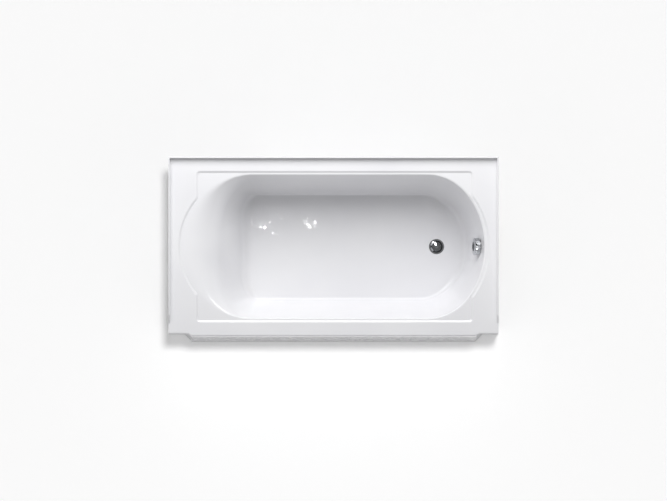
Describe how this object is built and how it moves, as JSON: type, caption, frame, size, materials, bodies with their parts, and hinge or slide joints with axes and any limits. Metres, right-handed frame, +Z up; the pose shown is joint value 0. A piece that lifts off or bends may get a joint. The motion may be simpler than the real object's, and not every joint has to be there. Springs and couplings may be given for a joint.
{
  "type": "alcove bathtub",
  "caption": "White enamelled cast-iron alcove bath with an integral apron, a tile flange, an oval basin in a recessed frame, and a cable-driven pop-up waste worked by a round overflow knob.",
  "frame": {"origin": "on the floor, under the middle of the outline", "axes": "+X along the bath towards the drain end, +Y towards the back wall of the alcove, +Z up"},
  "size_m": [1.524, 0.8566, 0.457],
  "materials": {
    "enamel": "gloss white vitreous enamel on cast iron",
    "chrome": "polished chrome plate on brass",
    "brass": "rough brass tube and castings",
    "rubber": "black rubber",
    "black_plastic": "black nylon",
    "steel": "stainless steel"
  },
  "bodies": {
    "tub": {"tub_casting": "enamel", "drain_body": "chrome", "drain_gasket": "rubber", "drain_shoe": "brass", "lever_pin": "steel", "waste_tube": "brass", "waste_tee": "brass", "overflow_tube": "brass", "overflow_elbow": "brass", "slip_nuts": "brass", "slip_washers": "rubber", "overflow_gasket": "rubber", "overflow_retainer": "chrome", "retainer_screws": "steel", "cable_sheath": "black_plastic", "cable_inner": "steel", "sheath_ferrules": "steel", "cable_clips": "black_plastic"},
    "handle": {"overflow_handle": "chrome", "handle_spindle": "brass", "handle_set_screw": "steel", "spindle_snap_ring": "steel", "cable_crank": "black_plastic", "cable_eye": "steel"},
    "stopper": {"stopper_cap": "chrome", "stopper_seal": "rubber", "stopper_stem": "brass"},
    "lever": {"lift_lever": "brass"},
    "plunger": {"cable_plunger": "steel"}
  },
  "joints": [
    {"name": "handle_turn", "type": "hinge", "parent": "tub", "child": "handle", "pos_m": [0.67343, 0.014, 0.33], "axis": [-0.9688, 0, 0.248], "range_deg": [0, 90]},
    {"name": "plunger_slide", "type": "slide", "parent": "tub", "child": "plunger", "axis": [0, 1, 0], "range_m": [0, 0.00674]},
    {"name": "lever_swing", "type": "hinge", "parent": "tub", "child": "lever", "pos_m": [0.4775, -0.002, 0.052], "axis": [1, 0, 0], "range_deg": [0, 32.61]},
    {"name": "stopper_lift", "type": "slide", "parent": "tub", "child": "stopper", "axis": [0, 0, 1], "range_m": [0, 0.00898]}
  ],
  "couplings": [
    {"joint": "plunger_slide", "follows": "handle_turn", "m_per_rad": 0.0042883},
    {"joint": "lever_swing", "follows": "handle_turn", "ratio": 0.36222},
    {"joint": "stopper_lift", "follows": "handle_turn", "m_per_rad": 0.0057177}
  ]
}
